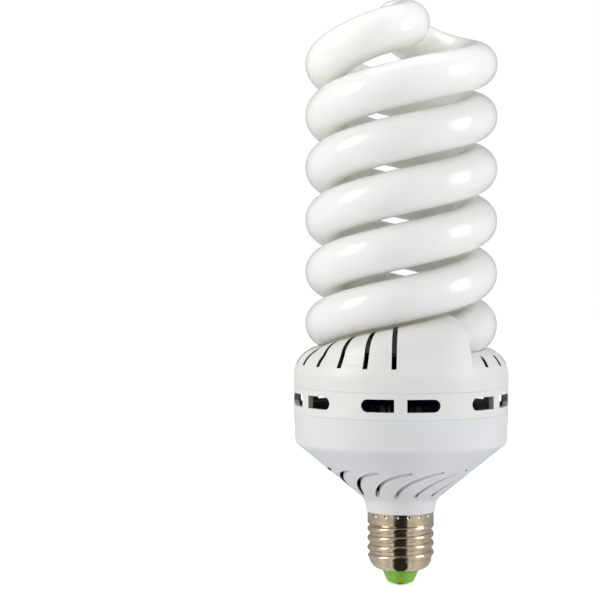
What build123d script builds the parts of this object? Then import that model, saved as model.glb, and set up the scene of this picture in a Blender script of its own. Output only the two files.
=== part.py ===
from build123d import *

import os
from math import acos, atan2, cos, degrees, radians, sin, sqrt

# Spiral studio lamp: a folded double-helix tube on a vented ballast housing with a screw cap.
# Millimetres. Z is the lamp's axis, the end contact's face is Z = 0, the front is -Y.

# Glass tube
tube_r = 8.6
coil_r = 28.85
strand_pitch = 40.6
strand_z = 101.9
strand_turns = 2.5
bridge_turn_r = 20.0
bridge_bend_r = 12.5
bridge_lifts = (0, 1.3, 2.8, 4.8, 7.0, 9.1, 11.0, 12.7, 14.3, 15.8, 16.8)
bridge_falls = (16.8, 16.9, 15.8, 13.6, 10.8, 8.0, 5.6, 3.8, 2.45, 1.22, 0)

# Where each tube end goes into the housing, as angles round the axis
mouth_angle = -49.0
tube_end_angle = -86.0
socket_end_angle = -89.5
hood_end_angle = -182.0
cradle_end_angle = 16.0
bore_overrun = 4.0

# Housing: upper cover and vent ring
housing_r = 42.0
cover_wall = 2.0
ring_low_z = 67.8
ring_h = 10.0
cover_top_z = 93.5
shoulder_r = 11.5
hood_wall = 1.3
flank_start_angle = -155.0
flank_inset = 0.12
flank_steps = 6
parting_edge = 0.25
lip_wall = 1.2
lip_h = 2.0
seat_w = 2.0
seat_t = 1.4

# Lower cover
rim_low_z = 55.7
rim_taper = 0.65
rim_round = 2.0
neck_top_z = 33.5
neck_top_r = 14.4
neck_low_r = 13.4
neck_round = 4.0
plug_h = 10.0
plug_bore_r = 9.8

# Vent openings
slot_w = 1.9
slot_low_z = 86.6
slot_pitch = 15.5
slot_first_angle = -37.5
slot_count = 9
short_slots = 3
long_slot_reach = 15.0
short_slot_reach = 4.8
window_pairs = 6
window_h = 4.9
window_mid_z = 73.15
window_w = 12.3
window_post = 4.84
swirl_count = 15
swirl_w = 1.5
swirl_low = (17.5, -120.0)
swirl_mid = (26.0, -102.4)
swirl_high = (30.1, -82.7)

# Screw cap, 27 mm size
cap_top_z = 28.65
shell_wall = 0.35
skirt_r = 13.05
skirt_h = 4.55
skirt_step = 0.7
root_r = 12.2
crest_r = 13.1
crest_round = 1.3
thread_pitch = 3.629
thread_low_z = 9.2
thread_start = 35.0
thread_turns = 4.0
run_in_low_z = 9.8
run_in_high_z = 11.6
foot_round = 4.6
foot_centre_z = 10.4
foot_r = 8.94
foot_hole_r = 8.6
stake_count = 18
stake_ball_r = 1.2
stake_depth = 0.22
stake_drop = 0.95
stake_phase = 4.0

# Cap insulator and end contact
nose_tip_r = 5.0
nose_round = 2.0
nose_base_r = 7.2
nose_base_z = 5.3
flange_top_z = 9.0
contact_r = 3.4
contact_t = 0.4
contact_edge = 0.15
rivet_r = 0.8
rivet_h = 3.2

# Clearances
glue_gap = 0.3
lip_gap = 0.15
cap_gap = 0.1
board_gap = 0.3
part_gap = 0.3

# Circuit board and the posts and leads above it
board_t = 1.6
post_side = 1.1
post_h = 5.0
post_x = -7.0
post_spread = 5.2
post_reach = 0.95
lead_r = 0.4
lead_run = 6.5
lead_drop = 3.5
lead_bend = 2.0

# Parts that hang under the board, placed by (x, y)
capacitor_r = 9.9
capacitor_h = 26.0
capacitor_edge = 1.2
capacitor_at = (10.5, -15.5)
choke_at = (-2.0, 14.2)
choke_w = 33.0
choke_d = 12.7
choke_h = 27.6
choke_leg = 9.7
choke_yoke = 4.6
bobbin_wall = 1.0
bobbin_lip = 0.6
winding_t = 3.2
winding_round = 2.5
toroid_at = (0.0, -3.7)
toroid_r = 5.0
toroid_bore_r = 2.6
toroid_h = 4.0
toroid_turns = 9
turn_wire_r = 0.35
turn_bend = 0.5
sink_at = (24.5, 6.0)
sink_t = 2.0
sink_w = 34.0
sink_h = 19.0
package_w = 10.0
package_t = 4.5
package_h = 9.2
package_spread = 14.0
tab_t = 1.3
tab_h = 6.5
tab_hole_r = 1.8
tab_hole_rise = 3.2
pin_w = 0.8
pin_h = 3.0
pin_pitch = 2.54
screw_r = 1.5
screw_head_r = 2.8
screw_head_t = 1.6
film_at = (-23.4, 3.0)
film_size = (7.0, 18.0, 13.0)
start_at = (-18.6, 24.4)
start_size = (9.0, 5.0, 9.0)
film_edge = 0.8
drum_at = (15.5, 27.0)
drum_r = 5.0
drum_core_r = 2.8
drum_h = 11.0
drum_flange = 1.5
drum_coil_r = 4.5
diode_at = (-1.0, 27.5)
diode_pitch = 4.4
diode_r = 1.35
diode_h = 5.2
fuse_at = (-1.0, 33.0)
fuse_r = 2.2
fuse_h = 9.0
thermistor_at = (-9.5, 31.6)
thermistor_r = 4.5
thermistor_t = 2.6
standoff = 2.0
mains_wire_r = 0.6
line_at = (-8.5, -1.5)
line_turn_z = 46.0
line_axis_z = 31.0
line_bend = 12.0
neutral_r = 8.6
neutral_angle = -10.0
neutral_low_z = 15.6
neutral_bend = 1.6

# Sizes that follow from the ones above
ring_top_z = ring_low_z + ring_h
post_r = coil_r + post_reach
rim_low_r = housing_r - rim_taper
socket_r = tube_r + glue_gap
hood_r = socket_r + hood_wall
cover_bore_r = housing_r - cover_wall
lip_r = cover_bore_r - lip_gap
lip_bore_r = lip_r - lip_wall
seat_low_z = ring_top_z - lip_h
seat_z = seat_low_z + seat_t
board_top_z = seat_z + board_t
spigot_r = skirt_r - shell_wall - cap_gap
plug_r = root_r - shell_wall - cap_gap
skirt_low_z = cap_top_z - skirt_h
foot_centre_r = root_r - foot_round
rivet_hole_r = rivet_r + cap_gap
bobbin_h = choke_h - 2 * choke_yoke - 2 * part_gap
bobbin_x = choke_leg / 2 + part_gap + bobbin_wall
bobbin_y = choke_d / 2 + part_gap + bobbin_wall
choke_mid_z = seat_z - part_gap - choke_h / 2
sink_face_x = sink_at[0] - sink_t / 2
tab_low_z = seat_z - pin_h - package_h - tab_h
screw_z = tab_low_z + tab_hole_rise

# How a solid sits on its own origin: standing on it or hanging from it
STAND = (Align.CENTER, Align.CENTER, Align.MIN)
HANG = (Align.CENTER, Align.CENTER, Align.MAX)


def turned(outline):
    """Solid of revolution about Z, from a closed outline drawn as (radius, height)."""
    return revolve(Plane.XZ * make_face(outline.edges()), Axis.Z)


def bar(radius, low, high):
    """Round bar on the axis between two heights."""
    return Pos(0, 0, low) * Cylinder(radius, high - low, align=STAND)


def around(solid, count, phase=0.0):
    """Copies of a solid at even steps round Z."""
    return [Rot(0, 0, phase + 360 / count * i) * solid for i in range(count)]


def on_circle(radius, angle, z=0.0):
    """Point at a radius and an angle round Z."""
    return Vector(radius * cos(radians(angle)), radius * sin(radians(angle)), z)


def rod(radius, path):
    """Round rod along a path."""
    return sweep(Plane(path @ 0, z_dir=path % 0) * Circle(radius), path=path)


def hung(place, solid, gap=0.0):
    """A solid moved from its own origin to a place under the board."""
    return Pos(place[0], place[1], seat_z - gap) * solid


# Glass tube

def strand_height(angle):
    """Height of the first strand's centreline at an angle round Z."""
    return strand_z + strand_pitch * angle / 360


def strand_line(start, end):
    """The first strand's helix, between two angles."""
    helix = Helix(strand_pitch, strand_height(end) - strand_height(start), coil_r)
    return Pos(0, 0, strand_height(start)) * Rot(0, 0, start) * helix


def coil_bar(radius, start, end):
    """Round bar along the first strand, between two angles."""
    path = strand_line(start, end)
    return sweep(Plane(path @ 0, z_dir=path % 0) * Circle(radius), path=path, is_frenet=True)


def bridge_line():
    """S-shaped line from one strand's top to the other's: two tight bends that meet on the axis."""
    top_angle = 360 * strand_turns
    out, ahead = on_circle(1, top_angle), on_circle(1, top_angle + 90)
    inset = coil_r - bridge_turn_r
    along = (bridge_bend_r**2 + inset**2 - (bridge_turn_r - bridge_bend_r) ** 2) / (2 * inset)
    turn_centre = out * inset
    bend_centre = out * along + ahead * sqrt(bridge_bend_r**2 - along**2)
    swing = (bend_centre - turn_centre).normalized()
    turn_len = bridge_turn_r * radians(out.get_angle(swing))
    length = turn_len + bridge_bend_r * radians(swing.get_angle(-bend_centre))
    half = []
    for i in range(len(bridge_lifts)):
        run = length * i / (len(bridge_lifts) - 1)
        if run < turn_len:
            arm = out.rotate(Axis.Z, degrees(run / bridge_turn_r)) * bridge_turn_r
            half.append(turn_centre + arm)
        else:
            arm = swing.rotate(Axis.Z, degrees((run - turn_len) / bridge_bend_r)) * bridge_bend_r
            half.append(bend_centre + arm)
    far_half = [Vector(-place.X, -place.Y) for place in reversed(half)]
    places = half + far_half[1:]
    lifts = bridge_lifts + bridge_falls[1:]
    top_z = strand_height(top_angle)
    rise = strand_line(0, top_angle) % 1
    fall = Vector(rise.X, rise.Y, -rise.Z)
    points = [place + Vector(0, 0, top_z + lift) for place, lift in zip(places, lifts)]
    return Spline(*points, tangents=(rise, fall), tangent_scalars=(1, 1))


def spiral_tube():
    """Sealed opal tube: two strands wound together, with an S-shaped bridge between their tops."""
    strand = coil_bar(tube_r, tube_end_angle, 360 * strand_turns)
    line = bridge_line()
    bridge = sweep(Plane(line @ 0, z_dir=line % 0) * Circle(tube_r), path=line)
    return Compound([strand, bridge, Rot(0, 0, 180) * strand])


# Upper cover

def dome(radius, top, low, shoulder):
    """Drum with a round shoulder, for the cover's outside and its inside."""
    side = Polyline((0, top), (0, low), (radius, low), (radius, top - shoulder))
    shoulder_arc = CenterArc((radius - shoulder, top - shoulder), shoulder, 0, 90)
    return turned(side + shoulder_arc + Line((radius - shoulder, top), (0, top)))


def upper_slots():
    """Radial vent slots over the shoulder, in two groups between the two tube mouths."""
    slots = []
    for i in range(slot_count):
        reach = short_slot_reach if i < short_slots else long_slot_reach
        length = reach + slot_w
        flat = Pos(housing_r - reach + length / 2, 0) * SlotOverall(length, slot_w)
        cutter = Pos(0, 0, slot_low_z) * extrude(flat, 2 * shoulder_r)
        slots += around(cutter, 2, slot_first_angle + slot_pitch * i)
    return slots


def hood_flank():
    """Wall from a hood down to the cover's side, tangent to the hood and to the shoulder."""
    shoulder = Vector(housing_r - shoulder_r, 0, cover_top_z - shoulder_r)
    shoulder_reach, hood_reach = shoulder_r - flank_inset, hood_r - flank_inset
    sections = []
    for i in range(flank_steps + 1):
        angle = flank_start_angle + (mouth_angle - flank_start_angle) * i / flank_steps
        hood = Vector(coil_r, 0, strand_height(angle))
        rise = hood - shoulder
        lean = degrees(atan2(rise.Z, rise.X) - acos((shoulder_reach - hood_reach) / rise.length))
        face_out = Vector(1, 0, 0).rotate(Axis.Y, -lean)
        corners = [hood, hood + face_out * hood_reach, shoulder + face_out * shoulder_reach, shoulder]
        turned_corners = [corner.rotate(Axis.Z, angle) for corner in corners]
        sections.append(make_face(Polyline(*turned_corners, close=True).edges()))
    return loft(sections)


def upper_cover():
    """Moulded cover with two hoods that take the tube's ends."""
    hood = coil_bar(hood_r, hood_end_angle, mouth_angle) + hood_flank()
    hood &= bar(housing_r, cover_top_z - shoulder_r, cover_top_z + 2 * hood_r)
    cradle = coil_bar(hood_r, socket_end_angle, cradle_end_angle)
    bore = coil_bar(socket_r, hood_end_angle + bore_overrun, cradle_end_angle + bore_overrun)
    outside = dome(housing_r, cover_top_z, ring_top_z, shoulder_r)
    outside = chamfer(outside.edges().group_by(Axis.Z)[0], parting_edge) + around(hood, 2)
    hollow = dome(cover_bore_r, cover_top_z - cover_wall, ring_top_z, shoulder_r - cover_wall)
    cover = outside - (hollow - around(cradle, 2)) - around(bore, 2)
    return cover - upper_slots()


# Vent ring

def window_pair():
    """Two vent windows either side of a post, square at the post and round at the far end."""
    straight = window_w - window_h / 2
    half = Pos(window_post / 2 + straight / 2, 0) * Rectangle(straight, window_h)
    half += Pos(window_post / 2 + straight, 0) * Circle(window_h / 2)
    front = Plane((0, 0, window_mid_z), x_dir=(1, 0, 0), z_dir=(0, -1, 0))
    return extrude(front * (half + mirror(half, Plane.YZ)), housing_r)


def vent_ring():
    """Ring of windows between the covers, with a lip into each and a seat for the board."""
    wall = bar(housing_r, ring_low_z, ring_top_z)
    wall = chamfer(wall.edges().filter_by(GeomType.CIRCLE), parting_edge)
    wall -= bar(cover_bore_r, ring_low_z, ring_top_z)
    wall -= around(window_pair(), window_pairs)
    lips = bar(lip_r, ring_low_z - lip_h, ring_low_z + lip_h)
    lips += bar(cover_bore_r, ring_low_z, ring_low_z + lip_h)
    lips += bar(lip_r, seat_low_z, ring_top_z + lip_h)
    lips += bar(cover_bore_r, seat_low_z, ring_top_z)
    lips -= bar(lip_bore_r, ring_low_z - lip_h, ring_top_z + lip_h)
    seat = bar(lip_bore_r, seat_low_z, seat_z) - bar(lip_bore_r - seat_w, seat_low_z, seat_z)
    return wall + lips + seat


# Lower cover

def swirl_slot():
    """Curved vent slot in the cone, cut straight down."""
    arc = ThreePointArc(on_circle(*swirl_low), on_circle(*swirl_mid), on_circle(*swirl_high))
    return Pos(0, 0, cap_top_z) * extrude(SlotArc(arc, swirl_w), ring_low_z - cap_top_z)


def lower_cover():
    """Moulded cone with a rim for the ring and a plug that goes into the cap."""
    slope = (rim_low_r - neck_top_r) / (rim_low_z - neck_top_z)
    inset = cover_wall * sqrt(1 + slope**2)
    side = FilletPolyline(
        (housing_r, ring_low_z),
        (rim_low_r, rim_low_z),
        (neck_top_r, neck_top_z),
        (neck_low_r, cap_top_z),
        radius=[rim_round, neck_round],
    )
    ends = Polyline((neck_low_r, cap_top_z), (0, cap_top_z), (0, ring_low_z), (housing_r, ring_low_z))
    cover = turned(side + ends)
    cover = chamfer(cover.edges().group_by(Axis.Z)[-1], parting_edge)
    hollow_r = rim_low_r - cover_wall
    hollow_z = rim_low_z + (inset - cover_wall) / slope
    apex_z = hollow_z - (hollow_r - plug_bore_r) / slope
    cover -= turned(
        Polyline(
            (0, ring_low_z),
            (cover_bore_r, ring_low_z),
            (hollow_r, hollow_z),
            (plug_bore_r, apex_z),
            (0, apex_z),
            close=True,
        )
    )
    cover += bar(spigot_r, skirt_low_z + cap_gap, cap_top_z)
    cover += bar(plug_r, cap_top_z - plug_h, cap_top_z)
    cover -= bar(plug_bore_r, cap_top_z - plug_h, apex_z)
    return cover - around(swirl_slot(), swirl_count)


# Screw cap

def cap_form(inset, start_r, low_z):
    """The cap's outline as a solid, moved in by a distance and opened from a radius at its foot."""
    round_r = foot_round - inset
    start_z = foot_centre_z - sqrt(round_r**2 - (start_r - foot_centre_r) ** 2)
    start_angle = degrees(atan2(start_z - foot_centre_z, start_r - foot_centre_r))
    foot = CenterArc((foot_centre_r, foot_centre_z), round_r, start_angle, -start_angle)
    side = Polyline(
        (root_r - inset, foot_centre_z),
        (root_r - inset, skirt_low_z - skirt_step),
        (skirt_r - inset, skirt_low_z),
        (skirt_r - inset, cap_top_z),
        (0, cap_top_z),
        (0, low_z),
        (start_r, low_z),
        (start_r, start_z),
    )
    return turned(foot + side)


def screw_thread():
    """Rounded thread ridge, from the cap's foot up into the skirt."""
    helix = Helix(thread_pitch, thread_pitch * thread_turns, crest_r - crest_round)
    path = Pos(0, 0, thread_low_z) * Rot(0, 0, thread_start) * helix
    section = Plane(path @ 0, z_dir=path % 0) * Circle(crest_round)
    return sweep(section, path=path, is_frenet=True)


def thread_envelope():
    """Solid that the thread is trimmed to, with a cone where it runs in."""
    low_r, high_r = root_r + cap_gap / 2, crest_r + cap_gap
    outline = Polyline(
        (0, 0),
        (low_r, 0),
        (low_r, run_in_low_z),
        (high_r, run_in_high_z),
        (high_r, cap_top_z),
        (0, cap_top_z),
        close=True,
    )
    return turned(outline)


def cap_shell():
    """Plated sheet cap with a rolled thread, staked to the plug round its skirt."""
    rim_z = foot_centre_z - sqrt(foot_round**2 - (foot_r - foot_centre_r) ** 2)
    body = cap_form(0, foot_r, rim_z - shell_wall) - bar(foot_r, rim_z - shell_wall, rim_z)
    shell = ((body + screw_thread()) & thread_envelope()) - cap_form(shell_wall, foot_hole_r, 0)
    ball_r = skirt_r - stake_depth + stake_ball_r
    stake = Pos(ball_r, 0, cap_top_z - stake_drop) * Sphere(stake_ball_r)
    return shell - around(stake, stake_count, stake_phase)


def cap_insulator():
    """Green moulding that closes the cap's foot and carries the end contact."""
    inset = shell_wall + cap_gap
    neck_r = foot_hole_r - cap_gap
    flange = cap_form(inset, neck_r, nose_base_z) & bar(root_r, nose_base_z, flange_top_z)
    side = FilletPolyline(
        (0, contact_t), (nose_tip_r, contact_t), (nose_base_r, nose_base_z), radius=nose_round
    )
    foot_z = foot_centre_z - sqrt(foot_round**2 - (foot_r - foot_centre_r) ** 2)
    nose = turned(side + Polyline((nose_base_r, nose_base_z), (neck_r, foot_z), (0, foot_z), (0, contact_t)))
    flange -= bar(neck_r, nose_base_z, foot_z)
    return nose + flange - bar(rivet_hole_r, contact_t, flange_top_z)


def end_contact():
    """Contact disc with a hollow rivet's stem up through the insulator."""
    disc = bar(contact_r, 0, contact_t)
    disc = chamfer(disc.edges().group_by(Axis.Z)[0], contact_edge)
    return disc + bar(rivet_r, 0, rivet_h)


# Circuit board, posts and leads

def circuit_board():
    """Round board that lies on the vent ring's seat."""
    return bar(lip_bore_r - board_gap, seat_z, board_top_z)


def post_places():
    """The two posts beside the first tube end, as (x, y)."""
    return [(post_x, -post_r + side * post_spread / 2) for side in (-1, 1)]


def wire_posts():
    """Square posts that the tube's leads are wound on."""
    posts = []
    for x, y in post_places():
        post = Pos(x, y, board_top_z) * Box(post_side, post_side, post_h, align=STAND)
        posts += around(post, 2)
    return Compound(posts)


def tube_lead(x, y, side):
    """Lead from the tube's end to the top of its post."""
    back = on_circle(1, tube_end_angle - 90)
    out = on_circle(1, tube_end_angle)
    slope = strand_pitch / radians(360) / coil_r
    start = on_circle(coil_r, tube_end_angle, strand_height(tube_end_angle))
    start += out * (-side * post_spread / 2)
    knee = start + (back - Vector(0, 0, slope)) * lead_run
    top = board_top_z + post_h
    path = FilletPolyline(start, knee, (x, y, top + lead_drop), (x, y, top), radius=lead_bend)
    return rod(lead_r, path)


def tube_leads():
    """Two leads from each end of the tube."""
    leads = []
    for (x, y), side in zip(post_places(), (-1, 1)):
        leads += around(tube_lead(x, y, side), 2)
    return Compound(leads)


# Parts under the board

def smoothing_capacitor(side):
    """Sleeved can, hung under the board behind the front windows."""
    can = Cylinder(capacitor_r, capacitor_h, align=HANG)
    can = fillet(can.edges().filter_by(GeomType.CIRCLE), capacitor_edge)
    return hung((side * capacitor_at[0], capacitor_at[1]), can)


def choke_half(side):
    """One E-shaped half of the choke's ferrite core."""
    height = choke_h / 2
    window_h = height - choke_yoke
    window_w = (choke_w - choke_leg) / 2 - choke_yoke
    half = Box(choke_w, choke_d, height, align=STAND)
    for hand in (-1, 1):
        x = hand * (choke_leg + window_w) / 2
        half -= Pos(x, 0, 0) * Box(window_w, choke_d, window_h, align=STAND)
    if side < 0:
        half = Rot(180, 0, 0) * half
    return Pos(choke_at[0], choke_at[1], choke_mid_z) * half


def choke_frame(grow, height):
    """Block round the choke's bobbin, grown outwards by a distance."""
    return Box(2 * (bobbin_x + grow), 2 * (bobbin_y + grow), height)


def choke_bobbin():
    """Bobbin on the core's middle leg, with a flange at each end."""
    spool = choke_frame(0, bobbin_h)
    flange = choke_frame(winding_t + bobbin_lip, bobbin_wall)
    for side in (-1, 1):
        spool += Pos(0, 0, side * (bobbin_h - bobbin_wall) / 2) * flange
    spool -= Box(2 * (bobbin_x - bobbin_wall), 2 * (bobbin_y - bobbin_wall), bobbin_h)
    return Pos(choke_at[0], choke_at[1], choke_mid_z) * spool


def choke_winding():
    """Wound wire, with the rounded corners of a full bobbin."""
    coil = choke_frame(winding_t, bobbin_h - 2 * bobbin_wall)
    coil = fillet(coil.edges().filter_by(Axis.Z), winding_round)
    coil -= choke_frame(0, bobbin_h)
    return Pos(choke_at[0], choke_at[1], choke_mid_z) * coil


def drive_toroid():
    """Small ferrite ring that drives the transistors."""
    ring = Cylinder(toroid_r, toroid_h, align=HANG) - Cylinder(toroid_bore_r, toroid_h, align=HANG)
    return hung(toroid_at, ring, part_gap + 2 * turn_wire_r)


def toroid_winding():
    """Turns of wire round the ferrite ring."""
    reach = turn_wire_r + part_gap / 2
    inner, outer = toroid_bore_r - reach, toroid_r + reach
    high, low = reach, -toroid_h - reach
    corners = [(inner, 0, high), (outer, 0, high), (outer, 0, low), (inner, 0, low)]
    loop = FilletPolyline(*corners, radius=turn_bend, close=True)
    turns = around(rod(turn_wire_r, loop), toroid_turns)
    return Compound([hung(toroid_at, turn, part_gap + 2 * turn_wire_r) for turn in turns])


def package_y(side):
    """Where a power transistor stands along the heat sink."""
    return sink_at[1] + side * package_spread / 2


def power_transistor(side):
    """Moulded package with a metal tab, hung by its three legs."""
    body = Pos(-package_t / 2, 0, -pin_h) * Box(package_t, package_w, package_h, align=HANG)
    tab = Pos(-tab_t / 2, 0, -pin_h - package_h) * Box(tab_t, package_w, tab_h, align=HANG)
    tab -= Pos(-tab_t / 2, 0, screw_z - seat_z) * Rot(0, 90, 0) * Cylinder(tab_hole_r, tab_t)
    transistor = body + tab
    for leg in (-1, 0, 1):
        place = Pos(-package_t / 2, leg * pin_pitch, 0)
        transistor += place * Box(pin_w, pin_w, pin_h, align=HANG)
    return hung((sink_face_x, package_y(side)), transistor)


def heat_sink():
    """Aluminium plate that both transistors are screwed to."""
    plate = hung(sink_at, Box(sink_t, sink_w, sink_h, align=HANG))
    for side in (-1, 1):
        hole = Rot(0, 90, 0) * Cylinder(screw_r + cap_gap, sink_t)
        plate -= Pos(sink_at[0], package_y(side), screw_z) * hole
    return plate


def transistor_screws():
    """Screws through the transistors' tabs into the heat sink."""
    head = Rot(0, -90, 0) * Cylinder(screw_head_r, screw_head_t, align=STAND)
    shank = Rot(0, 90, 0) * Cylinder(screw_r, tab_t + sink_t, align=STAND)
    screw = head + shank
    return Compound([Pos(sink_face_x - tab_t, package_y(side), screw_z) * screw for side in (-1, 1)])


def film_capacitor(place, size):
    """Box-shaped film capacitor."""
    box = Box(*size, align=HANG)
    box = fillet(box.edges().group_by(Axis.Z)[0], film_edge)
    return hung(place, box)


def filter_inductor():
    """Drum core with its winding."""
    spool = Cylinder(drum_r, drum_h, align=HANG)
    low_flange, gap = drum_h - drum_flange, drum_h - 2 * drum_flange
    groove = Cylinder(drum_r, gap, align=HANG) - Cylinder(drum_core_r, gap, align=HANG)
    coil = Cylinder(drum_coil_r, gap, align=HANG) - Cylinder(drum_core_r, gap, align=HANG)
    spool -= Pos(0, 0, low_flange - drum_h) * groove
    return hung(drum_at, spool + Pos(0, 0, low_flange - drum_h) * coil)


def rectifier_diodes():
    """Four diodes stood on end in a row."""
    diodes = []
    for i in range(4):
        place = (diode_at[0] + (i - 1.5) * diode_pitch, diode_at[1])
        body = Pos(0, 0, -standoff) * Cylinder(diode_r, diode_h, align=HANG)
        lead = Cylinder(lead_r, standoff, align=HANG)
        diodes.append(hung(place, body + lead))
    return Compound(diodes)


def fuse_resistor():
    """Fusible resistor stood on end."""
    body = Pos(0, 0, -standoff) * Cylinder(fuse_r, fuse_h, align=HANG)
    body = fillet(body.edges().filter_by(GeomType.CIRCLE), fuse_r / 3)
    return hung(fuse_at, body + Cylinder(lead_r, standoff, align=HANG))


def surge_thermistor():
    """Disc thermistor on two leads."""
    disc = Rot(90, 0, 0) * Cylinder(thermistor_r, thermistor_t)
    body = Pos(0, 0, -standoff - thermistor_r) * disc
    for side in (-1, 1):
        lead = Cylinder(lead_r, standoff + thermistor_r, align=HANG)
        body += Pos(side * thermistor_r / 2, 0, 0) * lead
    return hung(thermistor_at, body)


def line_wire():
    """Wire from the board down the axis to the end contact's rivet."""
    path = FilletPolyline(
        (*line_at, seat_z),
        (*line_at, line_turn_z),
        (0, 0, line_axis_z),
        (0, 0, rivet_h),
        radius=line_bend,
    )
    return rod(mains_wire_r, path)


def neutral_wire():
    """Wire from the board through the plug to the cap's shell."""
    reach = root_r - shell_wall - cap_gap
    path = FilletPolyline(
        on_circle(neutral_r, neutral_angle, seat_z),
        on_circle(neutral_r, neutral_angle, neutral_low_z),
        on_circle(reach, neutral_angle, neutral_low_z),
        radius=neutral_bend,
    )
    return rod(mains_wire_r, path)


parts = {
    "spiral_tube": spiral_tube(),
    "upper_cover": upper_cover(),
    "vent_ring": vent_ring(),
    "lower_cover": lower_cover(),
    "cap_shell": cap_shell(),
    "cap_insulator": cap_insulator(),
    "end_contact": end_contact(),
    "circuit_board": circuit_board(),
    "wire_posts": wire_posts(),
    "tube_leads": tube_leads(),
    "smoothing_capacitor_left": smoothing_capacitor(-1),
    "smoothing_capacitor_right": smoothing_capacitor(1),
    "choke_core_upper": choke_half(1),
    "choke_core_lower": choke_half(-1),
    "choke_bobbin": choke_bobbin(),
    "choke_winding": choke_winding(),
    "drive_toroid": drive_toroid(),
    "toroid_winding": toroid_winding(),
    "power_transistor_front": power_transistor(-1),
    "power_transistor_back": power_transistor(1),
    "heat_sink": heat_sink(),
    "transistor_screws": transistor_screws(),
    "filter_capacitor": film_capacitor(film_at, film_size),
    "start_capacitor": film_capacitor(start_at, start_size),
    "filter_inductor": filter_inductor(),
    "rectifier_diodes": rectifier_diodes(),
    "fuse_resistor": fuse_resistor(),
    "surge_thermistor": surge_thermistor(),
    "line_wire": line_wire(),
    "neutral_wire": neutral_wire(),
}

os.makedirs("parts", exist_ok=True)
for name, solid in parts.items():
    export_step(solid, f"parts/{name}.step")
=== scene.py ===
from math import atan2, cos, pi, radians, sqrt

import bmesh
import bpy
from mathutils import Matrix, Vector


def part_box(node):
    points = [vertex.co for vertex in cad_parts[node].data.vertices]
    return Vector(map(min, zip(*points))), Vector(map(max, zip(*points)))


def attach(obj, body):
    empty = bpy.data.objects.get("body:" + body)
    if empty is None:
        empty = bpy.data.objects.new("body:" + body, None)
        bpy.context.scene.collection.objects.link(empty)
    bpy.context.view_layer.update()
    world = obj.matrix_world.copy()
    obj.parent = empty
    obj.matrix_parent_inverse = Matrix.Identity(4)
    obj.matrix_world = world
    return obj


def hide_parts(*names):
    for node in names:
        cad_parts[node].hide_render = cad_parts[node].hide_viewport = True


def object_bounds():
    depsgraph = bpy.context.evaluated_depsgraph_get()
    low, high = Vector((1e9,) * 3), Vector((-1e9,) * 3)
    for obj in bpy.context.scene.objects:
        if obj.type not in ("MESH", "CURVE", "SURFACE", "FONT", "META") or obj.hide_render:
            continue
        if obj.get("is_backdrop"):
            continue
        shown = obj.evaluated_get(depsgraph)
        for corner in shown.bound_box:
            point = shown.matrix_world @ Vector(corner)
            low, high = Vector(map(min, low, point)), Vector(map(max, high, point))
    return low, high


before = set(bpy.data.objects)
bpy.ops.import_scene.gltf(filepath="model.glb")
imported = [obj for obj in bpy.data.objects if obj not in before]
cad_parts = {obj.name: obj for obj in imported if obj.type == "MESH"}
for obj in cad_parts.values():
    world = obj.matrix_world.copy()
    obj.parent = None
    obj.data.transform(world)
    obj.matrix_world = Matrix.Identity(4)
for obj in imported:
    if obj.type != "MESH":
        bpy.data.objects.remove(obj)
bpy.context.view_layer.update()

scene = bpy.context.scene


# The table it stands on, the daylight round it and the photographer's lamps. The table is plain
# white paper that keeps a soft shadow, and everything behind it is white.

scene.view_settings.view_transform = "Standard"

table_half_width = 2.5
table_drop = 0.0002
table_mesh = bmesh.new()
bmesh.ops.create_grid(table_mesh, x_segments=8, y_segments=8, size=table_half_width)
bmesh.ops.translate(table_mesh, verts=table_mesh.verts, vec=(0, 0, -table_drop))
table_data = bpy.data.meshes.new("paper_table")
table_mesh.to_mesh(table_data)
table_mesh.free()
table = bpy.data.objects.new("paper_table", table_data)
scene.collection.objects.link(table)
table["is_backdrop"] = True


def mirrored_ring(nodes, links, heading):
    """What polished metal sees all round it: pale screens, and the photographer's dark stand."""
    split = nodes.new("ShaderNodeSeparateXYZ")
    facing = nodes.new("ShaderNodeMath")
    facing.operation = "MULTIPLY"
    facing.inputs[1].default_value = -1
    across = nodes.new("ShaderNodeMath")
    across.operation = "ARCTAN2"
    turn = nodes.new("ShaderNodeMapRange")
    turn.inputs["From Min"].default_value = -pi
    turn.inputs["From Max"].default_value = pi
    ring = nodes.new("ShaderNodeValToRGB")
    links.new(heading, split.inputs[0])
    links.new(split.outputs["Y"], facing.inputs[0])
    links.new(split.outputs["X"], across.inputs[0])
    links.new(facing.outputs[0], across.inputs[1])
    links.new(across.outputs[0], turn.inputs["Value"])
    links.new(turn.outputs[0], ring.inputs["Fac"])
    behind = (0.3, 0.3, 0.31, 1)
    ring.color_ramp.elements[0].color = behind
    ring.color_ramp.elements[1].color = behind
    for place, level in ((0.25, 0.72), (0.34, 1.0), (0.40, 0.74), (0.426, 1.0), (0.444, 0.03),
                         (0.556, 0.03), (0.574, 1.0), (0.60, 0.74), (0.66, 1.0), (0.75, 0.72)):
        stop = ring.color_ramp.elements.new(place)
        stop.color = (level, level, level, 1)
    return ring.outputs["Color"]


mirrored_level = 0.92
paper_glow_level = 0.57

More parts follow.
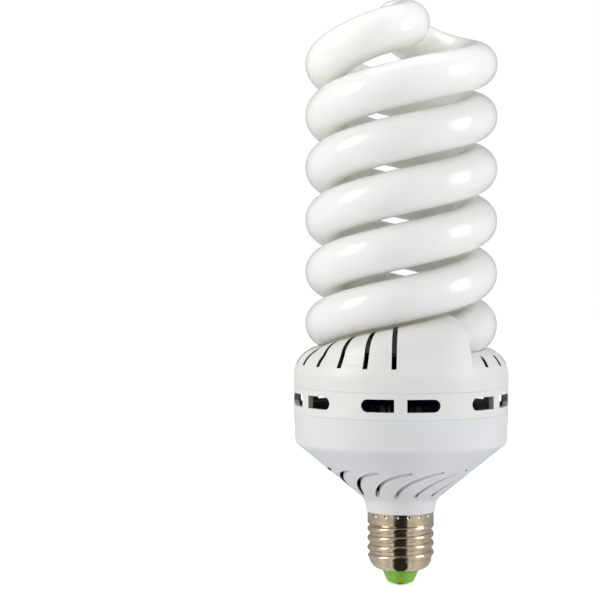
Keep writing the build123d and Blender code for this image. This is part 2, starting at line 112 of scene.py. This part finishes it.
paper = bpy.data.materials.new("white_paper")
paper.use_nodes = True
paper_nodes, paper_links = paper.node_tree.nodes, paper.node_tree.links
paper_shader = paper_nodes["Principled BSDF"]
paper_shader.inputs["Roughness"].default_value = 0.9
paper_shader.inputs["Base Color"].default_value = (0.79, 0.8, 0.84, 1)
paper_path = paper_nodes.new("ShaderNodeLightPath")
paper_place = paper_nodes.new("ShaderNodeTexCoord")
paper_glow = paper_nodes.new("ShaderNodeEmission")
paper_level = paper_nodes.new("ShaderNodeMath")
paper_level.operation = "MULTIPLY"
paper_level.inputs[1].default_value = paper_glow_level
paper_seen = paper_nodes.new("ShaderNodeAddShader")
paper_mirrored = paper_nodes.new("ShaderNodeEmission")
paper_mirrored.inputs["Strength"].default_value = mirrored_level
paper_pick = paper_nodes.new("ShaderNodeMixShader")
around = mirrored_ring(paper_nodes, paper_links, paper_place.outputs["Object"])
paper_links.new(around, paper_mirrored.inputs["Color"])
paper_links.new(paper_path.outputs["Is Camera Ray"], paper_level.inputs[0])
paper_links.new(paper_level.outputs[0], paper_glow.inputs["Strength"])
paper_links.new(paper_shader.outputs[0], paper_seen.inputs[0])
paper_links.new(paper_glow.outputs[0], paper_seen.inputs[1])
paper_links.new(paper_path.outputs["Is Glossy Ray"], paper_pick.inputs["Fac"])
paper_links.new(paper_seen.outputs[0], paper_pick.inputs[1])
paper_links.new(paper_mirrored.outputs[0], paper_pick.inputs[2])
paper_links.new(paper_pick.outputs[0], paper_nodes["Material Output"].inputs["Surface"])
table_data.materials.append(paper)

# The daylight is a dim white all round, and what the lens sees of it is plain white.
daylight = bpy.data.worlds.new("daylight")
scene.world = daylight
daylight.use_nodes = True
sky_nodes, sky_links = daylight.node_tree.nodes, daylight.node_tree.links
sky_nodes.clear()
sky_out = sky_nodes.new("ShaderNodeOutputWorld")
sky_dim = sky_nodes.new("ShaderNodeBackground")
sky_dim.inputs["Color"].default_value = (0.985, 0.99, 1.0, 1)
sky_dim.inputs["Strength"].default_value = 0.61
sky_seen = sky_nodes.new("ShaderNodeBackground")
sky_seen.inputs["Color"].default_value = (1, 1, 1, 1)
sky_mirrored = sky_nodes.new("ShaderNodeBackground")
sky_mirrored.inputs["Strength"].default_value = mirrored_level
sky_path = sky_nodes.new("ShaderNodeLightPath")
sky_place = sky_nodes.new("ShaderNodeTexCoord")
around = mirrored_ring(sky_nodes, sky_links, sky_place.outputs["Generated"])
sky_links.new(around, sky_mirrored.inputs["Color"])
pick_mirrored = sky_nodes.new("ShaderNodeMixShader")
pick_seen = sky_nodes.new("ShaderNodeMixShader")
sky_links.new(sky_path.outputs["Is Glossy Ray"], pick_mirrored.inputs["Fac"])
sky_links.new(sky_dim.outputs[0], pick_mirrored.inputs[1])
sky_links.new(sky_mirrored.outputs[0], pick_mirrored.inputs[2])
sky_links.new(sky_path.outputs["Is Camera Ray"], pick_seen.inputs["Fac"])
sky_links.new(pick_mirrored.outputs[0], pick_seen.inputs[1])
sky_links.new(sky_seen.outputs[0], pick_seen.inputs[2])
sky_links.new(pick_seen.outputs[0], sky_out.inputs["Surface"])


def soft_lamp(name, place, aim, side, watts, tint):
    data = bpy.data.lights.new(name, "AREA")
    data.shape = "RECTANGLE"
    data.size, data.size_y = side
    data.energy = watts
    data.color = tint
    lamp = bpy.data.objects.new(name, data)
    lamp.location = place
    lamp.rotation_euler = (Vector(aim) - Vector(place)).to_track_quat("-Z", "Y").to_euler()
    scene.collection.objects.link(lamp)


soft_lamp("left_softbox", (-0.98, -0.42, 0.55), (0, 0, 0.13), (0.5, 0.7), 5.5, (1, 0.985, 0.95))
soft_lamp("right_softbox", (0.98, -0.30, 0.40), (0, 0, 0.12), (0.5, 0.7), 4.3, (0.98, 0.99, 1))
soft_lamp("top_softbox", (-0.1, 0.15, 1.0), (0, 0, 0.13), (0.6, 0.6), 2.6, (1, 1, 0.99))

lens = bpy.data.cameras.new("photo_camera")
lens.lens = 105.5
lens.sensor_width = 36
camera = bpy.data.objects.new("photo_camera", lens)
camera.location = (0, -0.69, 0.129)
camera_aim = Vector((-0.0396, 0, 0.1113))
camera.rotation_euler = (camera_aim - camera.location).to_track_quat("-Z", "Y").to_euler()
scene.collection.objects.link(camera)
scene.camera = camera


# Glass tube. Two strands of opal glass wound side by side up the axis and joined by an S-shaped
# bridge: one sealed tube, drawn and bent hot round a mandrel, coated with phosphor inside and
# bare outside. Its two ends are pushed up to their middles into the cover's hoods.

glass_r = 0.0086
coil_r = 0.02885
coil_rise = 0.0406
coil_start_z = 0.1019
coil_turns = 2.5
end_turn = radians(-86)
glass_sides = 48
turn_step = radians(3)
wide_turn_r = 0.0200
tight_bend_r = 0.0125
bridge_steps = 60
bridge_climb = (0, 1.3, 2.8, 4.8, 7.0, 9.1, 11.0, 12.7, 14.3, 15.8, 16.8)
bridge_fall = (16.8, 16.9, 15.8, 13.6, 10.8, 8.0, 5.6, 3.8, 2.45, 1.22, 0)
slope_reach = 0.004
weld_reach = 1.8e-4


def ring_on_coil(mesh, radius, angle, sides):
    """Circle square to the coil's line, where the first strand passes that angle."""
    ring = bmesh.ops.create_circle(mesh, segments=sides, radius=radius)["verts"]
    lead = atan2(coil_rise, 2 * pi * coil_r)
    bmesh.ops.rotate(mesh, verts=ring, matrix=Matrix.Rotation(lead - pi / 2, 3, "X"))
    height = coil_start_z + coil_rise * angle / (2 * pi)
    bmesh.ops.translate(mesh, verts=ring, vec=(coil_r, 0, height))
    bmesh.ops.rotate(mesh, verts=ring, matrix=Matrix.Rotation(angle, 3, "Z"))
    return ring + list({edge for vert in ring for edge in vert.link_edges})


def wind(mesh, ring, angle):
    """Carries a ring on along the coil by that angle and returns its last place."""
    steps = round(angle / turn_step)
    climb = coil_rise * angle / (2 * pi) / steps
    return bmesh.ops.spin(mesh, geom=ring, cent=(0, 0, 0), axis=(0, 0, 1), dvec=(0, 0, climb),
                          angle=angle, steps=steps)["geom_last"]


def verts_in(geometry):
    return [item for item in geometry if isinstance(item, bmesh.types.BMVert)]


def height_between(heights, share):
    """Smooth curve through evenly spaced heights, in millimetres, at a share of their length."""
    place = min(share, 1) * (len(heights) - 2)
    step = min(int(place), len(heights) - 3)
    part = place - step
    before = heights[step - 1] if step else 2 * heights[0] - heights[1]
    low, high, after = heights[step:step + 3]
    return (low + part * (high - before) / 2
            + part**2 * (before - 2.5 * low + 2 * high - after / 2)
            + part**3 * ((after - before) / 2 + 1.5 * (low - high)))


def strand_and_half_bridge(heights):
    """One strand from its end in the hood to the top, then its half of the bridge to the axis."""
    mesh = bmesh.new()
    start = ring_on_coil(mesh, glass_r, end_turn, glass_sides)
    bottom = [item for item in start if isinstance(item, bmesh.types.BMEdge)]
    bmesh.ops.contextual_create(mesh, geom=bottom)
    ring = wind(mesh, verts_in(start) + bottom, 2 * pi * coil_turns - end_turn)
    out, ahead = Vector((-1, 0, 0)), Vector((0, -1, 0))
    inset = coil_r - wide_turn_r
    along = (tight_bend_r**2 + inset**2 - (wide_turn_r - tight_bend_r) ** 2) / (2 * inset)
    turn_centre = out * inset
    bend_centre = out * along + ahead * sqrt(tight_bend_r**2 - along**2)
    turn_length = wide_turn_r * out.angle(bend_centre - turn_centre)
    length = turn_length + tight_bend_r * (bend_centre - turn_centre).angle(-bend_centre)
    turn_steps = round(bridge_steps * turn_length / length)
    run, height = 0.0, heights[0]
    slope = atan2(coil_rise, 2 * pi * coil_r)
    for step in range(bridge_steps):
        turning = step < turn_steps
        centre, radius = (turn_centre, wide_turn_r) if turning else (bend_centre, tight_bend_r)
        move = (turn_length / turn_steps if turning
                else (length - turn_length) / (bridge_steps - turn_steps))
        run += move
        onward = height_between(heights, run / length)
        ring = bmesh.ops.spin(mesh, geom=ring, cent=centre, axis=(0, 0, 1),
                              dvec=(0, 0, (onward - height) / 1000), angle=move / radius,
                              steps=1)["geom_last"]
        middle = sum((vert.co for vert in verts_in(ring)), Vector()) / glass_sides
        share_ahead = min(run / length + slope_reach, 1)
        ahead_height = height_between(heights, share_ahead)
        here_height = height_between(heights, share_ahead - 2 * slope_reach)
        onward_slope = atan2((ahead_height - here_height) / 1000, 2 * slope_reach * length)
        tip = Matrix.Rotation(onward_slope - slope, 3, (middle - centre) * Vector((1, 1, 0)))
        bmesh.ops.rotate(mesh, verts=verts_in(ring), cent=middle, matrix=tip)
        height, slope = onward, onward_slope
    return mesh


def make_object(mesh, name, sharp=35):
    """Object from a bmesh, smooth except over edges sharper than that many degrees."""
    data = bpy.data.meshes.new(name)
    mesh.to_mesh(data)
    mesh.free()
    data.shade_smooth()
    data.set_sharp_from_angle(angle=radians(sharp))
    made = bpy.data.objects.new(name, data)
    scene.collection.objects.link(made)
    return made


def fit(piece, slot, *nodes):
    """Says what a finished piece rides on and which nodes it stands for; slot is not used."""
    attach(piece, "root")
    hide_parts(*nodes)


first_half = strand_and_half_bridge(bridge_climb + bridge_fall[1:2])
second_half = strand_and_half_bridge(bridge_fall[::-1] + bridge_climb[-2:-1])
bmesh.ops.rotate(second_half, verts=second_half.verts, matrix=Matrix.Rotation(pi, 3, "Z"))
second_data = bpy.data.meshes.new("second_half")
second_half.to_mesh(second_data)
second_half.free()
first_half.from_mesh(second_data)
bpy.data.meshes.remove(second_data)
bmesh.ops.remove_doubles(first_half, verts=first_half.verts, dist=weld_reach)
bmesh.ops.recalc_face_normals(first_half, faces=first_half.faces)
tube = make_object(first_half, "opal_glass_tube")
fit(tube, "opal_glass", "spiral_tube")


def tone(red, green, blue):
    """Colour as the eye reads it, each part 0 to 255, made linear for the shader."""
    return tuple(((part / 255 + 0.055) / 1.055) ** 2.4 for part in (red, green, blue)) + (1.0,)


mottle = bpy.data.node_groups.new("mottle", "ShaderNodeTree")
for label, kind in (("Place", "Vector"), ("Colour", "Color"), ("Other Colour", "Color"),
                    ("Patch Scale", "Float"), ("Grain Scale", "Float"),
                    ("Smoothest", "Float"), ("Roughest", "Float")):
    mottle.interface.new_socket(name=label, in_out="INPUT", socket_type="NodeSocket" + kind)
for label, kind in (("Colour", "Color"), ("Roughness", "Float"), ("Height", "Float")):
    mottle.interface.new_socket(name=label, in_out="OUTPUT", socket_type="NodeSocket" + kind)
given = mottle.nodes.new("NodeGroupInput")
patches = mottle.nodes.new("ShaderNodeTexNoise")
grain = mottle.nodes.new("ShaderNodeTexNoise")
drift = mottle.nodes.new("ShaderNodeMapRange")
drift.inputs["From Min"].default_value = 0.3
drift.inputs["From Max"].default_value = 0.7
shades = mottle.nodes.new("ShaderNodeMix")
shades.data_type = "RGBA"
gloss = mottle.nodes.new("ShaderNodeMapRange")
gloss.inputs["From Min"].default_value = 0.3
gloss.inputs["From Max"].default_value = 0.7
result = mottle.nodes.new("NodeGroupOutput")
for start, end in ((given.outputs["Place"], patches.inputs["Vector"]),
                   (given.outputs["Place"], grain.inputs["Vector"]),
                   (given.outputs["Patch Scale"], patches.inputs["Scale"]),
                   (given.outputs["Grain Scale"], grain.inputs["Scale"]),
                   (patches.outputs[0], drift.inputs["Value"]),
                   (drift.outputs[0], shades.inputs[0]),
                   (given.outputs["Colour"], shades.inputs[6]),
                   (given.outputs["Other Colour"], shades.inputs[7]),
                   (patches.outputs[0], gloss.inputs["Value"]),
                   (given.outputs["Smoothest"], gloss.inputs["To Min"]),
                   (given.outputs["Roughest"], gloss.inputs["To Max"]),
                   (shades.outputs[2], result.inputs["Colour"]),
                   (gloss.outputs[0], result.inputs["Roughness"]),
                   (grain.outputs[0], result.inputs["Height"])):
    mottle.links.new(start, end)


def mottled(name, colour, other, patch, grain, gloss, depth, stretch=(1, 1, 1)):
    """Finish that drifts between two shades over patches, with a fine grain; sizes in metres."""
    finish = bpy.data.materials.new(name)
    finish.use_nodes = True
    nodes, links = finish.node_tree.nodes, finish.node_tree.links
    shader = nodes["Principled BSDF"]
    place = nodes.new("ShaderNodeTexCoord")
    turn = nodes.new("ShaderNodeMapping")
    turn.inputs["Scale"].default_value = stretch
    effect = nodes.new("ShaderNodeGroup")
    effect.name = "mottle"
    effect.node_tree = mottle
    effect.inputs["Colour"].default_value = tone(*colour)
    effect.inputs["Other Colour"].default_value = tone(*other)
    effect.inputs["Patch Scale"].default_value = 1 / patch
    effect.inputs["Grain Scale"].default_value = 1 / grain
    effect.inputs["Smoothest"].default_value = gloss[0]
    effect.inputs["Roughest"].default_value = gloss[1]
    bump = nodes.new("ShaderNodeBump")
    bump.inputs["Strength"].default_value = 1.0
    bump.inputs["Distance"].default_value = depth
    links.new(place.outputs["Object"], turn.inputs["Vector"])
    links.new(turn.outputs[0], effect.inputs["Place"])
    links.new(effect.outputs["Colour"], shader.inputs["Base Color"])
    links.new(effect.outputs["Roughness"], shader.inputs["Roughness"])
    links.new(effect.outputs["Height"], bump.inputs["Height"])
    links.new(bump.outputs[0], shader.inputs["Normal"])
    return finish


opal_glass = mottled("opal_glass", (245, 244, 238), (241, 240, 233), 0.016, 0.004,
                     (0.10, 0.20), 2e-6)
glaze = opal_glass.node_tree.nodes["Principled BSDF"]
glaze.inputs["Coat Weight"].default_value = 0.3
glaze.inputs["Coat Roughness"].default_value = 0.18
glaze.inputs["Subsurface Weight"].default_value = 0.9
glaze.inputs["Subsurface Radius"].default_value = (1, 1, 0.95)
glaze.inputs["Subsurface Scale"].default_value = 0.03
tube.data.materials.append(opal_glass)


# Upper cover. The domed half of the housing, moulded in off-white heatproof plastic with a
# satin sparked grain. Its two hoods grip the ends of the tube, and its slots let heat out.


def dress(finish, *nodes):
    """Gives this finish to pieces that keep the shape of the frame."""
    for node in nodes:
        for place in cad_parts[node].material_slots:
            place.material = finish


wall_facing = 0.0085, 0.006
upright_facing = 0.35, 0.2
ceiling_facing = -0.35, -0.5


def painted_inner_shade(finish, shade_colour, wall_top):
    """Up to wall_top, inner walls and the sides of slots are darkened to the given colour as
    painted shade, and above it the ceiling is. The outer skin faces away from the axis, or up,
    and is not shaded."""
    nodes, links = finish.node_tree.nodes, finish.node_tree.links
    shader, effect = nodes["Principled BSDF"], nodes["mottle"]
    face = nodes.new("ShaderNodeNewGeometry")
    place = nodes.new("ShaderNodeSeparateXYZ")
    facing = nodes.new("ShaderNodeSeparateXYZ")
    inwards = nodes.new("ShaderNodeVectorMath")
    inwards.operation = "DOT_PRODUCT"
    flat = nodes.new("ShaderNodeVectorMath")
    flat.operation = "MULTIPLY"
    flat.inputs[1].default_value = (1, 1, 0)
    inner = nodes.new("ShaderNodeMapRange")
    inner.inputs["From Min"].default_value, inner.inputs["From Max"].default_value = wall_facing
    upright = nodes.new("ShaderNodeMapRange")
    upright.inputs["From Min"].default_value, upright.inputs["From Max"].default_value = (
        upright_facing)
    walls = nodes.new("ShaderNodeMath")
    walls.operation = "MULTIPLY"
    below = nodes.new("ShaderNodeMath")
    below.operation = "LESS_THAN"
    below.inputs[1].default_value = wall_top
    ceiling = nodes.new("ShaderNodeMapRange")
    ceiling.inputs["From Min"].default_value, ceiling.inputs["From Max"].default_value = (
        ceiling_facing)
    # Painted shade: the mask below mixes the shade colour into the plastic on inner walls, slot
    # sides and ceiling.
    shaded = nodes.new("ShaderNodeMix")
    shade_over = nodes.new("ShaderNodeMix")
    shade_over.data_type = "RGBA"
    shade_over.inputs[7].default_value = tone(*shade_colour)
    links.new(face.outputs["Position"], flat.inputs[0])
    links.new(face.outputs["Position"], place.inputs[0])
    links.new(face.outputs["Normal"], facing.inputs[0])
    links.new(flat.outputs[0], inwards.inputs[0])
    links.new(face.outputs["Normal"], inwards.inputs[1])
    links.new(inwards.outputs["Value"], inner.inputs["Value"])
    links.new(place.outputs["Z"], below.inputs[0])
    links.new(facing.outputs["Z"], ceiling.inputs["Value"])
    links.new(facing.outputs["Z"], upright.inputs["Value"])
    links.new(inner.outputs[0], walls.inputs[0])
    links.new(upright.outputs[0], walls.inputs[1])
    links.new(below.outputs[0], shaded.inputs[0])
    links.new(ceiling.outputs[0], shaded.inputs[2])
    links.new(walls.outputs[0], shaded.inputs[3])
    links.new(shaded.outputs[0], shade_over.inputs[0])
    links.new(effect.outputs["Colour"], shade_over.inputs[6])
    links.new(shade_over.outputs[2], shader.inputs["Base Color"])


cover_plastic = mottled("cover_plastic", (226, 225, 220), (221, 221, 217), 0.030, 0.00045,
                        (0.34, 0.46), 4e-6)
# Painted shade: the inside and the slot walls are darkened to a dark olive.
painted_inner_shade(cover_plastic, (66, 64, 40), 0.102)
dress(cover_plastic, "upper_cover")


# Silicone beads. After the tube is seated, a thin bead of pale silicone is run along the crest
# of each hood, under the loop that passes over it, so that the glass can't rattle. The bead's
# olive-grey tone is painted shade of the shaded gap between hood and loop.

bead_r = 0.00085
bead_sides = 16
bead_span = radians(-150), radians(-52)
hood_crest_r = 0.0102


def silicone_bead():
    """Bead midway between the first hood and the second strand's lowest loop."""
    mesh = bmesh.new()
    first, last = bead_span
    start = ring_on_coil(mesh, bead_r, first, bead_sides)
    tip = [item for item in start if isinstance(item, bmesh.types.BMEdge)]
    bmesh.ops.contextual_create(mesh, geom=tip)
    end = wind(mesh, verts_in(start) + tip, last - first)
    bmesh.ops.contextual_create(mesh, geom=[item for item in end
                                            if isinstance(item, bmesh.types.BMEdge)])
    lead = atan2(coil_rise, 2 * pi * coil_r)
    between = (hood_crest_r + coil_rise / 2 * cos(lead) - glass_r) / 2
    bmesh.ops.translate(mesh, verts=mesh.verts, vec=(0, 0, between / cos(lead)))
    bmesh.ops.recalc_face_normals(mesh, faces=mesh.faces)
    return mesh


front_bead = make_object(silicone_bead(), "silicone_bead_front")
back_mesh = silicone_bead()
bmesh.ops.rotate(back_mesh, verts=back_mesh.verts, matrix=Matrix.Rotation(pi, 3, "Z"))
back_bead = make_object(back_mesh, "silicone_bead_back")
# Olive-grey bead colour: silicone, with painted shade standing in for the shaded gap.
silicone_painted_shade = mottled("silicone_painted_shade", (176, 174, 156), (164, 162, 144), 0.004, 0.0009, (0.3, 0.42), 2e-5)
for bead in (front_bead, back_bead):
    bead.data.materials.append(silicone_painted_shade)
    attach(bead, "root")


# Vent ring. A moulded ring of the same plastic between the two covers, with pairs of round-ended
# windows. It snaps into the upper cover, carries the board on its seat and holds the lower cover.

ring_plastic = mottled("ring_plastic", (227, 227, 222), (222, 222, 218), 0.022, 0.00045,
                       (0.32, 0.44), 4e-6)
# Painted shade: the ring's inner faces are darkened to grey.
painted_inner_shade(ring_plastic, (150, 150, 142), 0.09)
dress(ring_plastic, "vent_ring")


# Circuit board. A round of brown paper laminate, punched and drilled, that rests on the ring's
# seat with its parts hanging below it.

board_laminate = mottled("board_laminate", (142, 112, 62), (124, 96, 54), 0.006, 0.0007,
                         (0.45, 0.6), 2e-5, (1, 4, 1))
dress(board_laminate, "circuit_board")


# Wire posts and tube leads. Square tinned pins pressed through the board, with the thin leads of
# the tube's four filament ends wrapped to them and soldered.

tinned_steel = mottled("tinned_steel", (196, 196, 192), (172, 172, 168), 0.003, 0.0004,
                       (0.2, 0.4), 5e-6, (1, 1, 0.2))
tinned_steel.node_tree.nodes["Principled BSDF"].inputs["Metallic"].default_value = 1.0
dress(tinned_steel, "wire_posts", "tube_leads", "transistor_screws")


# Smoothing capacitors. Two tall aluminium cans in navy shrink sleeve that hang from the board's
# front edge, behind the front windows.

can_r = 0.0099
can_sides = 72
lip = 0.0009
groove = 0.0009
capacitor_sleeve = mottled("capacitor_sleeve", (16, 20, 54), (11, 14, 42), 0.008, 0.0006,
                           (0.2, 0.32), 6e-6, (1, 1, 0.3))


def turned(outline, at, sides):
    """Closed mesh turned about an upright axis from (radius, height) points, pole to pole."""
    mesh = bmesh.new()
    points = [mesh.verts.new((at[0] + radius, at[1], height)) for radius, height in outline]
    edges = [mesh.edges.new(pair) for pair in zip(points, points[1:])]
    bmesh.ops.spin(mesh, geom=points + edges, cent=(at[0], at[1], 0), axis=(0, 0, 1),
                   angle=2 * pi, steps=sides, use_merge=True)
    bmesh.ops.remove_doubles(mesh, verts=mesh.verts, dist=1e-6)
    bmesh.ops.recalc_face_normals(mesh, faces=mesh.faces)
    return mesh


for side in ("left", "right"):
    node = "smoothing_capacitor_" + side
    low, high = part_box(node)
    foot, top = low[2], high[2]
    outline = ((0, foot + 0.3 * lip), (can_r - 2 * lip, foot + 0.3 * lip),
               (can_r - 1.7 * lip, foot + 0.1 * lip), (can_r - lip, foot),
               (can_r - 0.4 * lip, foot + 0.15 * lip), (can_r - 0.1 * lip, foot + 0.5 * lip),
               (can_r, foot + 1.2 * lip), (can_r, top - 5.6 * groove),
               (can_r - 0.2 * groove, top - 5.1 * groove),
               (can_r - 0.8 * groove, top - 4.5 * groove), (can_r - groove, top - 4.1 * groove),
               (can_r - 0.8 * groove, top - 3.7 * groove),
               (can_r - 0.2 * groove, top - 3.1 * groove), (can_r, top - 2.6 * groove),
               (can_r, top - 1.1 * lip), (can_r - 0.1 * lip, top - 0.5 * lip),
               (can_r - 0.4 * lip, top - 0.15 * lip), (can_r - lip, top),
               (can_r - 1.7 * lip, top - 0.2 * lip), (can_r - 2 * lip, top - 0.5 * lip),
               (0, top - 0.5 * lip))
    middle = [(near + far) / 2 for near, far in zip(low, high)]
    can = make_object(turned(outline, middle[:2], can_sides), node.replace("smoothing_", ""), 50)
    can.data.materials.append(capacitor_sleeve)
    fit(can, "capacitor_sleeve", node)


# Choke. Two grey ferrite halves round a moulded bobbin filled with layers of enamelled copper
# wire; the halves are pressed and ground, and glued face to face round the bobbin.

ferrite = mottled("ferrite", (62, 61, 63), (50, 49, 52), 0.004, 0.0005, (0.5, 0.7), 2e-5)
dress(ferrite, "choke_core_upper", "choke_core_lower", "drive_toroid")
bobbin_plastic = mottled("bobbin_plastic", (206, 198, 176), (196, 187, 164), 0.01, 0.0005,
                         (0.4, 0.5), 4e-6)
dress(bobbin_plastic, "choke_bobbin")
copper_wire = mottled("copper_wire", (184, 104, 56), (160, 84, 42), 0.004, 0.0006,
                      (0.2, 0.32), 1e-4, (0.3, 0.3, 1))
copper_wire.node_tree.nodes["Principled BSDF"].inputs["Metallic"].default_value = 0.9
dress(copper_wire, "choke_winding")


# Drive transformer. A small ferrite ring on the board with a few turns of red insulated wire
# threaded through it by hand.

red_insulation = mottled("red_insulation", (176, 34, 28), (156, 28, 24), 0.003, 0.0004,
                         (0.3, 0.42), 3e-6)
dress(red_insulation, "toroid_winding")


# Power transistors and heat sink. Two black moulded packages screwed by their tabs to a folded
# aluminium plate that spreads their heat.

epoxy_black = mottled("epoxy_black", (34, 34, 36), (26, 26, 28), 0.003, 0.0003,
                      (0.45, 0.6), 8e-6)
dress(epoxy_black, "power_transistor_front", "power_transistor_back", "rectifier_diodes")
rolled_aluminium = mottled("rolled_aluminium", (196, 198, 200), (178, 181, 184), 0.006, 0.0004,
                           (0.28, 0.42), 8e-6, (1, 0.15, 1))
rolled_aluminium.node_tree.nodes["Principled BSDF"].inputs["Metallic"].default_value = 1.0
dress(rolled_aluminium, "heat_sink")


# Filter and start capacitors, filter inductor. Dipped film capacitors in red and green epoxy and
# a drum of wire in black shrink sleeve, each on two leads.

red_dip = mottled("red_dip", (150, 44, 30), (132, 34, 24), 0.005, 0.0016, (0.12, 0.22), 2e-5)
dress(red_dip, "filter_capacitor")
green_dip = mottled("green_dip", (34, 96, 60), (26, 82, 52), 0.005, 0.0016, (0.12, 0.22), 2e-5)
dress(green_dip, "start_capacitor")
black_sleeve = mottled("black_sleeve", (30, 30, 32), (22, 22, 24), 0.004, 0.0006,
                       (0.28, 0.4), 8e-6)
dress(black_sleeve, "filter_inductor")


# Fuse resistor and surge thermistor. A grey-green cement-coated resistor that opens on overload,
# and a dark disc of sintered ceramic that limits the inrush.

cement_coat = mottled("cement_coat", (126, 140, 126), (112, 126, 112), 0.003, 0.0005,
                      (0.6, 0.75), 2e-5)
dress(cement_coat, "fuse_resistor")
sintered_disc = mottled("sintered_disc", (52, 60, 54), (40, 48, 44), 0.003, 0.0005,
                        (0.5, 0.65), 2e-5)
dress(sintered_disc, "surge_thermistor")


# Lower cover. The funnel that closes the housing, moulded in the same plastic, with a swirl of
# vents round its cone and a plug that the screw cap is staked to.

cone_plastic = mottled("cone_plastic", (224, 225, 224), (218, 220, 220), 0.030, 0.00045,
                       (0.34, 0.46), 4e-6)
# Painted shade: the cone's inside and the sides of its vents are darkened almost to black.
painted_inner_shade(cone_plastic, (46, 46, 41), 0.07)
dress(cone_plastic, "lower_cover")


# Mains wires. Two lengths of white insulated wire from the board down through the plug, one to
# the cap's side and one to its end contact.

white_insulation = mottled("white_insulation", (214, 212, 204), (202, 199, 190), 0.004, 0.0005,
                           (0.35, 0.48), 3e-6)
dress(white_insulation, "line_wire", "neutral_wire")


# Screw cap. Thin brass drawn to a cup, rolled to a round thread and nickel plated, then staked
# to the cover's plug by a ring of punched dimples.

cap_nickel = mottled("cap_nickel", (212, 197, 172), (193, 177, 152), 0.005, 0.0009,
                     (0.10, 0.20), 3e-6, (1, 1, 3))
cap_nickel.node_tree.nodes["Principled BSDF"].inputs["Metallic"].default_value = 1.0
dress(cap_nickel, "cap_shell")


# Insulator and end contact. A button of translucent green plastic crimped into the cap's foot,
# with a thin tinned brass disc riveted through its middle.

insulator_green = mottled("insulator_green", (146, 202, 66), (130, 188, 56), 0.006, 0.0008,
                          (0.18, 0.28), 4e-6)
dress(insulator_green, "cap_insulator")
contact_metal = mottled("contact_metal", (206, 196, 172), (182, 170, 144), 0.002, 0.0003,
                        (0.22, 0.4), 1e-5)
contact_metal.node_tree.nodes["Principled BSDF"].inputs["Metallic"].default_value = 1.0
dress(contact_metal, "end_contact")

low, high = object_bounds()
